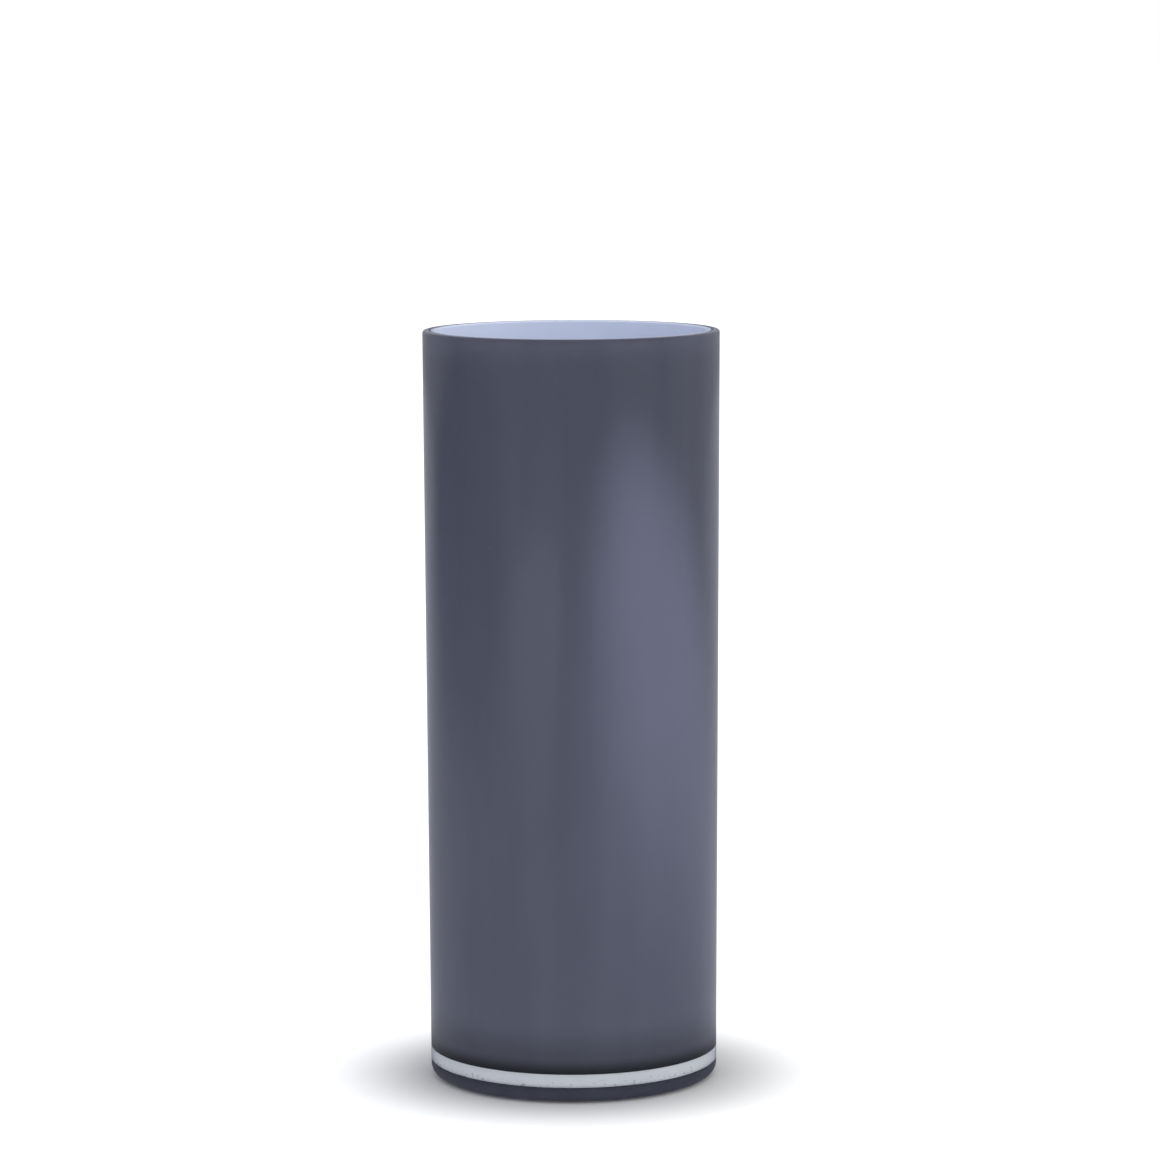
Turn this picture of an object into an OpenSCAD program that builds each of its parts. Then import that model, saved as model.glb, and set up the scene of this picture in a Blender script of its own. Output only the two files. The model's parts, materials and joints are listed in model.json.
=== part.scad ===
// Glass cylinder vase of fused layers. A white opal cup is the inside. A grey skin covers its wall and its
// foot, and leaves a white ring bare just above the foot. A clear casing goes round all of it.
// +Z is up, and the origin is the centre of the face it stands on.

/* [Overall] */
// Height from the standing face to the rim
vase_h = 300; // [150:1:450]
// Outer diameter at the rim
rim_d = 118; // [95:0.5:150]
// Outer diameter at the base, where the wall's line meets the standing face
base_d = 115; // [95:0.5:150]

/* [Wall] */
// Thickness of the clear casing in the wall
casing_t = 2.4; // [2.2:0.1:5]
// Thickness of the grey skin
grey_t = 1; // [0.5:0.1:1.6]
// Thickness of the opal liner in the wall
liner_t = 1.6; // [1.4:0.1:4]

/* [Foot] */
// Thickness of the clear casing under the grey foot
foot_t = 2.4; // [1.5:0.1:3.5]
// Thickness of the liner's floor
liner_floor_t = 8; // [2:0.1:20]
// Radius inside the liner, between its wall and its floor
hollow_corner_r = 5; // [2:0.5:15]
// Rounding of the casing's lower edge
foot_edge_r = 4.5; // [1:0.1:7]
// Rounding of the grey foot's lower edge
grey_corner_r = 2.1; // [1.5:0.1:3.4]

/* [White ring] */
// Height of the ring's lower edge above the standing face
ring_z = 6; // [5:0.1:40]
// Height of the ring itself
ring_h = 5.3; // [1:0.1:60]
// Rounding of the grey sleeve's edge above the ring
sleeve_edge_r = 0.7; // [0.2:0.1:2]

/* [Rim] */
// Rounding of the rim's outer edge
rim_outer_r = 1; // [0.4:0.1:1]
// Rounding of the rim's inner edge
rim_inner_r = 0.6; // [0.3:0.1:0.6]

/* [Hidden] */
$fn = 180;
// How far the wall leans out for each millimetre of height, and the angle that makes
lean = (rim_d - base_d) / 2 / vase_h;
lean_a = atan(lean);
// Outer face of each layer, as its distance in from the casing's outer face
grey_in = casing_t;
liner_in = grey_in + grey_t;
hollow_in = liner_in + liner_t;
// Height of the sleeve's lower edge, and of each underside, above the standing face
sleeve_z = ring_z + ring_h;
liner_z = foot_t + grey_t;
hollow_z = liner_z + liner_floor_t;
// Lower corner radius of the liner, which keeps the grey foot's thickness round the corner
liner_corner_r = grey_corner_r - grey_t;

// Radius of a wall face at height z, where the face lies "inset" in from the casing's outer face
function wall_x(z, inset) = base_d / 2 + lean * z - inset;

// Radius at which a circle of radius r, centred at height z, touches that wall face from inside
function tangent_x(r, z, inset) = wall_x(z, inset) - r / cos(lean_a);

// Where such a circle touches the wall face
function touch(r, z, inset) = [tangent_x(r, z, inset) + r * cos(lean_a), z - r * sin(lean_a)];

// Half outline of a solid that follows a wall face from z_low up to the rim, with a rounded lower corner
module plug(inset, z_low, corner_r) {
    z_corner = z_low + corner_r;
    x_corner = tangent_x(corner_r, z_corner, inset);
    polygon([
        [0, z_low],
        [x_corner, z_low],
        touch(corner_r, z_corner, inset),
        [wall_x(vase_h, inset), vase_h],
        [0, vase_h]
    ]);
    translate([x_corner, z_corner]) circle(corner_r);
}

// Half outline of the liner with its hollow filled in
module liner_plug() {
    plug(liner_in, liner_z, liner_corner_r);
}

// Half outline of the grey sleeve with everything inside it filled in
module sleeve_plug() {
    plug(grey_in, sleeve_z, sleeve_edge_r);
}

// Half outline of the grey foot with everything inside it filled in, up to the ring
module foot_plug() {
    intersection() {
        plug(grey_in, foot_t, grey_corner_r);
        square([rim_d, ring_z]);
    }
}

// Half outline of the casing's outside, with the rim's outer edge rounded
module outside() {
    z_edge = vase_h - rim_outer_r;
    x_edge = tangent_x(rim_outer_r, z_edge, 0);
    x_foot = tangent_x(foot_edge_r, foot_edge_r, 0);
    polygon([
        [0, 0],
        [x_foot, 0],
        touch(foot_edge_r, foot_edge_r, 0),
        touch(rim_outer_r, z_edge, 0),
        [x_edge, vase_h],
        [0, vase_h]
    ]);
    translate([x_foot, foot_edge_r]) circle(foot_edge_r);
    translate([x_edge, z_edge]) circle(rim_outer_r);
}

// Clear outer glass: the wall's outside, the rim's outer edge and the face it stands on
module clear_casing() {
    color([0.9, 0.95, 1], 0.35)
    rotate_extrude()
    difference() {
        outside();
        liner_plug();
        sleeve_plug();
        foot_plug();
    }
}

// Grey glass round the liner, from the ring up to the rim
module grey_sleeve() {
    color([0.33, 0.34, 0.39])
    rotate_extrude()
    difference() {
        sleeve_plug();
        liner_plug();
    }
}

// Grey glass under the liner, turned up round its corner as far as the ring
module grey_foot() {
    color([0.3, 0.31, 0.36])
    rotate_extrude()
    difference() {
        foot_plug();
        liner_plug();
    }
}

// Opal glass that lines the hollow: its wall, the thick floor and the rim's inner edge
module opal_liner() {
    z_edge = vase_h - rim_inner_r;
    x_edge = wall_x(z_edge, hollow_in) + rim_inner_r / cos(lean_a);
    color([0.88, 0.89, 0.93])
    rotate_extrude()
    union() {
        difference() {
            liner_plug();
            plug(hollow_in, hollow_z, hollow_corner_r);
            polygon([
                [x_edge - rim_inner_r * cos(lean_a), z_edge + rim_inner_r * sin(lean_a)],
                [x_edge, vase_h],
                [wall_x(vase_h, hollow_in), vase_h]
            ]);
        }
        translate([x_edge, z_edge]) circle(rim_inner_r);
    }
}

clear_casing();
grey_sleeve();
grey_foot();
opal_liner();
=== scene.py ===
import json
import math

import bmesh
import bpy
from mathutils import Matrix, Vector


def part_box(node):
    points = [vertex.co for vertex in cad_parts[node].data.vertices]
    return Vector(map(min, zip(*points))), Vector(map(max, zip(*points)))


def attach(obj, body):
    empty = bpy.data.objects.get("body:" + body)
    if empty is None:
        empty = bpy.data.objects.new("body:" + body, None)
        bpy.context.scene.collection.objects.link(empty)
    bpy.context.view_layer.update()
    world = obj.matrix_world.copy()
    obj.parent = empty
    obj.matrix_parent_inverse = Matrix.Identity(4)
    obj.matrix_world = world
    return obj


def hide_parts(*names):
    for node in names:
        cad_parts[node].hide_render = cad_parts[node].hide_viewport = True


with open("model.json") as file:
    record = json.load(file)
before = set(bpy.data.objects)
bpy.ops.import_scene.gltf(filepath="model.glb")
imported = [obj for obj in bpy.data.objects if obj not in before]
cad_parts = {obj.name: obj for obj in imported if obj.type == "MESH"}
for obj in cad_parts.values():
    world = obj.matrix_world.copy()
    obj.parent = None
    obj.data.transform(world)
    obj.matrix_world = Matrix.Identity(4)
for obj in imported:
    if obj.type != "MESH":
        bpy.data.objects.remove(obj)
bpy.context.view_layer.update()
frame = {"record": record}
mm = 0.001

# heights and rim radii come from the CAD layers
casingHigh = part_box("clear_casing")[1]
sleeveLow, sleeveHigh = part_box("grey_sleeve")
footLow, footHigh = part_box("grey_foot")
linerLow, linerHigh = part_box("opal_liner")
hollowFloor = next(m["pos_m"][2] for m in frame["record"]["mounts"] if m["name"] == "inner_floor")
rimHeight = casingHigh.z
ringLow = footHigh.z
ringHigh = sleeveLow.z
lean = 0.005  # how far the wall leans out for each metre of height
glassIndex = 1.5


def wallRadius(rimRadius, height):
    # radius, at this height, of the wall face that has rimRadius at the rim
    return rimRadius - lean * (rimHeight - height)


class Amount:
    # a value on the glass; arithmetic on it adds Math nodes
    def __init__(self, recipe, socket):
        self.recipe = recipe
        self.socket = socket

    def combine(self, operation, first, second):
        return self.recipe.node("ShaderNodeMath", {"operation": operation}, {0: first, 1: second})

    def __add__(self, other):
        return self.combine("ADD", self, other)

    def __sub__(self, other):
        return self.combine("SUBTRACT", self, other)

    def __rsub__(self, other):
        return self.combine("SUBTRACT", other, self)

    def __mul__(self, other):
        return self.combine("MULTIPLY", self, other)

    def orMore(self, other):
        return self.combine("MAXIMUM", self, other)

    __radd__ = __add__
    __rmul__ = __mul__


class Recipe:
    # the nodes of one material, or of the world
    def __init__(self, owner, output="ShaderNodeOutputMaterial"):
        owner.use_nodes = True
        self.tree = owner.node_tree
        self.tree.nodes.clear()
        self.output = self.tree.nodes.new(output)

    def node(self, kind, settings=None, inputs=None, output=0):
        made = self.tree.nodes.new(kind)
        for setting, value in (settings or {}).items():
            setattr(made, setting, value)
        for socket, value in (inputs or {}).items():
            if isinstance(value, Amount):
                self.tree.links.new(value.socket, made.inputs[socket])
            else:
                made.inputs[socket].default_value = value
        return Amount(self, made.outputs[output])

    def send(self, shader):
        self.tree.links.new(shader.socket, self.output.inputs["Surface"])

    def surface(self, inputs):
        self.send(self.node("ShaderNodeBsdfPrincipled", inputs=inputs))

    def spot(self):
        return self.node("ShaderNodeTexCoord", output="Object")

    def height(self):
        return self.node("ShaderNodeSeparateXYZ", inputs={0: self.spot()}, output="Z")

    def far(self, centre=(0, 0, 0), stretch=(1, 1, 1)):
        # distance from a point, in metres, with each axis stretched
        away = self.node("ShaderNodeVectorMath", {"operation": "SUBTRACT"}, {0: self.spot(), 1: centre})
        away = self.node("ShaderNodeVectorMath", {"operation": "MULTIPLY"}, {0: away, 1: stretch})
        return self.node("ShaderNodeVectorMath", {"operation": "LENGTH"}, {0: away}, output="Value")

    def ramp(self, value, start, end, low, high):
        # runs smoothly from low to high while the value goes from start to end
        inputs = {"Value": value, "From Min": start, "From Max": end, "To Min": low, "To Max": high}
        return self.node("ShaderNodeMapRange", {"interpolation_type": "SMOOTHSTEP"}, inputs)

    def noise(self, look):
        # a small stretch along one axis draws the pattern out along it
        where = self.node("ShaderNodeMapping", inputs={"Vector": self.spot(), "Scale": look["stretch"]})
        inputs = {"Vector": where, "Scale": look["scale"], "Detail": look["detail"]}
        return self.node("ShaderNodeTexNoise", inputs=inputs)

    def marks(self, look):
        # the noise between two levels, as a share from none to the most
        start, end = look["levels"]
        return self.ramp(self.noise(look), start, end, 0, look["most"])

    def bump(self, height, distance):
        return self.node("ShaderNodeBump", inputs={"Height": height, "Distance": distance})

    def tint(self, share, first, second):
        return self.node("ShaderNodeMix", {"data_type": "RGBA"}, {0: share, 6: first, 7: second}, output=2)


holdLength = 0.25 * mm  # straight run beside a rounding, so that the flats stay flat
mergeDistance = 0.001 * mm
outlineSteps = 256


def roundCorner(mesh, corner, rounding, cuts):
    for edge in list(corner.link_edges):
        share = (rounding + holdLength) / edge.calc_length()
        if share < 1:
            bmesh.utils.edge_split(edge, corner, share)
    bmesh.ops.bevel(mesh, geom=[corner], offset=rounding, offset_type="OFFSET", segments=cuts,
                    profile=0.5, affect="VERTICES", material=-1)


def lathe(outline, closed=False):
    # each corner of the outline: radius, height and, where it is rounded, its rounding and the cuts in it
    mesh = bmesh.new()
    corners = [mesh.verts.new((radius, 0, height)) for radius, height, *rounding in outline]
    following = corners[1:] + corners[:1] if closed else corners[1:]
    for pair in zip(corners, following):
        mesh.edges.new(pair)
    for corner, (radius, height, *rounding) in zip(corners, outline):
        if rounding:
            roundCorner(mesh, corner, *rounding[0])
    bmesh.ops.spin(mesh, geom=mesh.verts[:] + mesh.edges[:], cent=(0, 0, 0), axis=(0, 0, 1), dvec=(0, 0, 0),
                   angle=math.tau, steps=outlineSteps, use_merge=True, use_duplicate=False)
    bmesh.ops.remove_doubles(mesh, verts=mesh.verts[:], dist=mergeDistance)
    bmesh.ops.recalc_face_normals(mesh, faces=mesh.faces[:])
    return mesh


def finishPiece(name, mesh, material, node):
    for face in mesh.faces:
        face.smooth = True
    data = bpy.data.meshes.new(name)
    mesh.to_mesh(data)
    mesh.free()
    piece = bpy.data.objects.new(name, data)
    bpy.context.scene.collection.objects.link(piece)
    data.materials.append(material)
    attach(piece, "root")
    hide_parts(node)


camera = {
    "place": Vector((3.2 * mm, -1788 * mm, 422.3 * mm)),
    "down": 7.09,  # degrees below level
    "turn": -0.211,  # degrees about the line of sight
    "lens": 140.1,  # this and the sensor's width in millimetres
    "sensor": 36,
}


def makeCamera():
    data = bpy.data.cameras.new("camera")
    data.lens = camera["lens"]
    data.sensor_width = camera["sensor"]
    item = bpy.data.objects.new("camera", data)
    pitch = Matrix.Rotation(math.radians(90 - camera["down"]), 4, "X")
    roll = Matrix.Rotation(math.radians(camera["turn"]), 4, "Z")
    item.matrix_world = Matrix.Translation(camera["place"]) @ pitch @ roll
    bpy.context.scene.collection.objects.link(item)
    bpy.context.scene.camera = item
    print("camera ready")


makeCamera()

studio = {
    "floorDrop": 0.15 * mm,  # a hair of air under the foot
    "floorHalf": 40,
    "floorCells": 8,
    "floorShade": (0.48, 0.48, 0.48, 1),
    "floorGlow": 0.66,  # lifts the paper to white away from the vase; its fade near the vase is a painted contact shadow
    "glowReach": (0.046, 0.112),  # where the glow sets in and where it is full, from the vase's axis; inside it lies the painted shadow
    "backdropRadius": 30,
    "backdropHeight": 12,
    "backdropCuts": 64,
    "backdrop": (1, 1, 1, 1),
    "skyLeft": (0.84, 0.87, 0.97, 1),
    "skyRight": (1.50, 1.50, 1.50, 1),
    "bounce": (1.10, 1.11, 1.14, 1),  # light that comes up from the floor and through the casing
}


def stageMesh(name, mesh, material, **seenBy):
    # seenBy names the kinds of light ray that meet it
    data = bpy.data.meshes.new(name)
    mesh.to_mesh(data)
    mesh.free()
    data.materials.append(material)
    material.cycles.emission_sampling = "NONE"
    item = bpy.data.objects.new(name, data)
    bpy.context.scene.collection.objects.link(item)
    for kind in ("camera", "diffuse", "glossy", "transmission", "shadow"):
        setattr(item, "visible_" + kind, seenBy.get(kind, False))


def floorMesh():
    mesh = bmesh.new()
    cells = studio["floorCells"]
    bmesh.ops.create_grid(mesh, x_segments=cells, y_segments=cells, size=studio["floorHalf"])
    bmesh.ops.translate(mesh, verts=mesh.verts[:], vec=(0, 0, -studio["floorDrop"]))
    return mesh


def makeFloor():
    material = bpy.data.materials.new("floorPaper")
    paper = Recipe(material)
    start, end = studio["glowReach"]
    # painted shadow: the paper's glow fades out towards the vase, so the floor darkens around the foot
    colour = paper.tint(paper.ramp(paper.far(), start, end, 0, 1), (0, 0, 0, 1), (1, 1, 1, 1))
    paper.surface({"Base Color": studio["floorShade"], "Roughness": 1.0, "Specular IOR Level": 0.0,
                   "Emission Color": colour, "Emission Strength": studio["floorGlow"]})
    stageMesh("floor", floorMesh(), material, camera=True, diffuse=True, shadow=True)


# the room as the glass mirrors it: a dim floor with soft pools of light and shade on it
mirrored = {
    "nearShade": (0.41, 0.42, 0.47, 1),
    "farShade": (0.30, 0.30, 0.34, 1),
    "farReach": (0.25, 2.2),  # where the near shade starts to change and where the far one is full
    "sky": (0.36, 0.37, 0.42, 1),
    "skyCuts": 48,
    "pools": [  # centre, stretch, where its edge and its full shade lie from the centre, and the shade
        ((0, 2.0, 0), (0.8, 1, 1), (1.8, 1.2), (0.42, 0.43, 0.48, 1)),
        ((-2.4, 0.1, 0), (1, 1, 1), (2.0, 1.0), (0.10, 0.10, 0.12, 1)),
        ((-0.6, -1.2, 0), (1, 1, 1), (0.8, 0.2), (0.66, 0.68, 0.74, 1)),
        ((1.3, -0.8, 0), (1, 0.78, 1), (1.5, 0.3), (1.58, 1.68, 2.38, 1)),
        ((0, 0, 0), (1, 1, 1), (0.14, 0.058), (0.10, 0.10, 0.12, 1)),
    ],
}


def makeMirroredRoom():
    material = bpy.data.materials.new("mirroredRoom")
    room = Recipe(material)
    start, end = mirrored["farReach"]
    shade = room.tint(room.ramp(room.far(), start, end, 0, 1), mirrored["nearShade"], mirrored["farShade"])
    for centre, stretch, (edge, full), poolShade in mirrored["pools"]:
        pool = room.ramp(room.far(centre, stretch), edge, full, 0, 1)
        shade = room.tint(pool, shade, poolShade)
    room.send(room.node("ShaderNodeEmission", inputs={"Color": shade}))
    stageMesh("mirroredRoom", floorMesh(), material, glossy=True)


def glowing(name, colour):
    material = bpy.data.materials.new(name)
    glow = Recipe(material)
    glow.send(glow.node("ShaderNodeEmission", inputs={"Color": colour}))
    return material


def makeMirroredSky():
    mesh = bmesh.new()
    cuts = mirrored["skyCuts"]
    bmesh.ops.create_uvsphere(mesh, u_segments=cuts, v_segments=cuts // 2, radius=studio["backdropRadius"])
    stageMesh("mirroredSky", mesh, glowing("mirroredSky", mirrored["sky"]), glossy=True)


def makeBackdrop():
    mesh = bmesh.new()
    radius = studio["backdropRadius"]
    bmesh.ops.create_cone(mesh, cap_ends=False, segments=studio["backdropCuts"],
                          radius1=radius, radius2=radius, depth=studio["backdropHeight"])
    stageMesh("backdrop", mesh, glowing("backdrop", studio["backdrop"]), camera=True)


def makeLight():
    world = bpy.data.worlds.new("studio")
    bpy.context.scene.world = world
    sky = Recipe(world, "ShaderNodeOutputWorld")
    towards = sky.node("ShaderNodeTexCoord", output="Generated")
    across = sky.node("ShaderNodeSeparateXYZ", inputs={0: towards}, output="X")
    colour = sky.tint(sky.ramp(across, -1, 1, 0, 1), studio["skyLeft"], studio["skyRight"])
    sky.send(sky.node("ShaderNodeBackground", inputs={"Color": colour}))


def makeBounce():
    stageMesh("bounce", floorMesh(), glowing("bounce", studio["bounce"]), transmission=True)


def makeStudio():
    makeFloor()
    makeBounce()
    makeMirroredRoom()
    makeMirroredSky()
    makeBackdrop()
    makeLight()
    bpy.context.scene.view_settings.view_transform = "Standard"
    print("studio ready")


makeStudio()

opal = {
    "thickness": 1.6 * mm,
    "cornerRounding": (5 * mm, 16),  # each rounding is its radius and the cuts in it
    "lowerRounding": (1.1 * mm, 6),
    "rimRounding": (0.6 * mm, 8),
    # painted light and shade: one opal is given a lighter colour on its outer face and a darker one on its
    # inner face and rim, a lit and a shaded copy of the same glass
    "inside": (0.64, 0.69, 0.835, 1),
    "insideCloud": (0.60, 0.655, 0.79, 1),
    "outside": (0.92, 0.95, 0.99, 1),
    "cloud": (0.86, 0.90, 0.96, 1),
    "speck": (0.42, 0.44, 0.50, 1),
    "seam": 0.1 * mm,  # half the run over which the lit outer colour turns into the shaded inner one
    "rimBand": (2 * mm, 1 * mm),  # below the rim, where the lit outer colour turns into the shaded inner one too
    "speckBand": 4 * mm,  # how far up from the foot the specks go
    "clouds": {"stretch": (1, 1, 0.4), "scale": 55, "detail": 4, "levels": (0.35, 0.7), "most": 0.8},
    "grains": {"stretch": (1, 1, 1.6), "scale": 520, "detail": 1, "levels": (0.62, 0.71), "most": 0.8},
    "waves": {"stretch": (1, 1, 0.3), "scale": 30, "detail": 1},
    "waveDepth": 0.1 * mm,
    "roughness": 0.5,
    "polish": 0.05,  # roughness of the fired surface over it, inside and at the rim
}


def makeOpalGlass():
    material = bpy.data.materials.new("opalGlass")
    glass = Recipe(material)
    height = glass.height()
    middle = wallRadius(linerHigh.x, 0) - opal["thickness"] / 2
    radius = glass.far(stretch=(1, 1, 0)) - height * lean
    inner = glass.ramp(radius, middle - opal["seam"], middle + opal["seam"], 1, 0)
    bandLow, bandHigh = opal["rimBand"]
    inner = inner.orMore(glass.ramp(height, rimHeight - bandLow, rimHeight - bandHigh, 0, 1))
    clouds = glass.marks(opal["clouds"])
    low = glass.ramp(height, ringLow, ringLow + opal["speckBand"], 1, 0)
    colour = glass.tint(clouds, opal["outside"], opal["cloud"])
    colour = glass.tint(glass.marks(opal["grains"]) * low, colour, opal["speck"])
    # the inner face and the rim take the darker, shaded copy; the outer face keeps the lighter, lit copy
    colour = glass.tint(inner, colour, glass.tint(clouds, opal["inside"], opal["insideCloud"]))
    relief = glass.bump(glass.noise(opal["waves"]), opal["waveDepth"])
    glass.surface({"Base Color": colour, "Roughness": opal["roughness"], "IOR": glassIndex,
                   "Specular IOR Level": 0.0, "Coat Weight": inner, "Coat Roughness": opal["polish"],
                   "Coat IOR": glassIndex, "Normal": relief})
    return material


def makeLiner():
    outerRim = linerHigh.x
    innerRim = outerRim - opal["thickness"]
    mesh = lathe([
        (0, linerLow.z),
        (wallRadius(outerRim, linerLow.z), linerLow.z, opal["lowerRounding"]),
        (outerRim, rimHeight),
        (innerRim, rimHeight, opal["rimRounding"]),
        (wallRadius(innerRim, hollowFloor), hollowFloor, opal["cornerRounding"]),
        (0, hollowFloor),
    ])
    finishPiece("opalLiner", mesh, makeOpalGlass(), "opal_liner")
    print("opal liner ready")


makeLiner()

grey = {
    "thickness": 1 * mm,
    "tuck": 0.02 * mm,  # how far the grey reaches into the opal behind it
    "footRounding": (2.1 * mm, 8),
    "sleeveRounding": (0.7 * mm, 6),
    "shade": (0.148, 0.156, 0.212, 1),
    "streakShade": (0.128, 0.137, 0.190, 1),
    "speckShade": (0.25, 0.26, 0.32, 1),
    # painted shade: the dark that the grey is drawn towards above the ring and on the foot
    "darkShade": (0.012, 0.013, 0.018, 1),
    "streaks": {"stretch": (1, 1, 0.06), "scale": 60, "detail": 3, "levels": (0.38, 0.66), "most": 0.55},
    "mottle": {"stretch": (1, 1, 0.5), "scale": 24, "detail": 2, "levels": (0.35, 0.7), "most": 0.45},
    "specks": {"stretch": (1, 1, 1), "scale": 1100, "detail": 0, "levels": (0.77, 0.83), "most": 0.2},
    # painted shade near the floor: the grey is darkened just above the ring and on the foot. What turns the
    # dark shade into the grey: start and end height, and the share at each
    "edge": (ringHigh + 0.3 * mm, ringHigh + 6.7 * mm, 0, 0.58),
    "lower": (ringHigh + 5.2 * mm, ringHigh + 20.7 * mm, 0, 0.42),
    "foot": (ringLow, ringLow + 1 * mm, 0.38, 0),
    "roughness": 0.5,
}


def makeGreyGlass():
    material = bpy.data.materials.new("greyGlass")
    glass = Recipe(material)
    height = glass.height()
    streaks = glass.marks(grey["streaks"]) + glass.marks(grey["mottle"])
    colour = glass.tint(streaks, grey["shade"], grey["streakShade"])
    colour = glass.tint(glass.marks(grey["specks"]), colour, grey["speckShade"])
    # painted shade: the grey runs dark just above the ring and on the foot, where it stands near the floor
    paintedShadeFade = glass.ramp(height, *grey["edge"]) + glass.ramp(height, *grey["lower"])
    colour = glass.tint(paintedShadeFade + glass.ramp(height, *grey["foot"]), grey["darkShade"], colour)
    glass.surface({"Base Color": colour, "Roughness": grey["roughness"], "IOR": glassIndex,
                   "Specular IOR Level": 0.0})
    return material


def makeSkin():
    glass = makeGreyGlass()
    outerRim = sleeveHigh.x
    innerRim = outerRim - grey["thickness"] - grey["tuck"]
    sleeve = lathe([
        (wallRadius(innerRim, ringHigh), ringHigh),
        (wallRadius(outerRim, ringHigh), ringHigh, grey["sleeveRounding"]),
        (outerRim, rimHeight),
        (innerRim, rimHeight),
    ], closed=True)
    finishPiece("greySleeve", sleeve, glass, "grey_sleeve")
    innerFloor = linerLow.z + grey["tuck"]
    foot = lathe([
        (0, footLow.z),
        (wallRadius(outerRim, footLow.z), footLow.z, grey["footRounding"]),
        (wallRadius(outerRim, ringLow), ringLow),
        (wallRadius(innerRim, ringLow), ringLow),
        (wallRadius(innerRim, innerFloor), innerFloor, opal["lowerRounding"]),
        (0, innerFloor),
    ])
    finishPiece("greyFoot", foot, glass, "grey_foot")
    print("grey sleeve and foot ready")


makeSkin()

casing = {
    "footRounding": (4.5 * mm, 16),
    "rimRounding": (1 * mm, 8),
    "colour": (0.985, 0.99, 1.0, 1),
    "sunk": 0.05 * mm,  # how far its inner face lies inside the layers, so that no air shows between them
    "cords": {"stretch": (1, 1, 0.12), "scale": 26, "detail": 2},
    "seeds": {"stretch": (1, 1, 0.7), "scale": 420, "detail": 0, "levels": (0.78, 0.84), "most": 0.01},
    "haze": {"stretch": (1, 1, 1), "scale": 40, "detail": 3, "levels": (0.4, 0.7), "most": 0.03},
    "cordDepth": 0.12 * mm,
}


def makeClearGlass():
    material = bpy.data.materials.new("clearGlass")
    glass = Recipe(material)
    relief = glass.noise(casing["cords"]) + glass.marks(casing["seeds"])
    glass.surface({"Base Color": casing["colour"], "Roughness": glass.marks(casing["haze"]),
                   "IOR": glassIndex, "Transmission Weight": 1.0,
                   "Normal": glass.bump(relief, casing["cordDepth"])})
    return material


def makeCasing():
    outerRim = casingHigh.x
    sleeveRim = sleeveHigh.x - casing["sunk"]
    ringRim = linerHigh.x - casing["sunk"]
    grooveHigh = ringHigh + casing["sunk"]
    grooveLow = ringLow - casing["sunk"]
    innerFloor = footLow.z + casing["sunk"]
    mesh = lathe([
        (0, 0),
        (wallRadius(outerRim, 0), 0, casing["footRounding"]),
        (outerRim, rimHeight, casing["rimRounding"]),
        (sleeveRim, rimHeight),
        (wallRadius(sleeveRim, grooveHigh), grooveHigh, grey["sleeveRounding"]),
        (wallRadius(ringRim, grooveHigh), grooveHigh),
        (wallRadius(ringRim, grooveLow), grooveLow),
        (wallRadius(sleeveRim, grooveLow), grooveLow),
        (wallRadius(sleeveRim, innerFloor), innerFloor, grey["footRounding"]),
        (0, innerFloor),
    ])
    finishPiece("clearCasing", mesh, makeClearGlass(), "clear_casing")
    print("clear casing ready")


makeCasing()
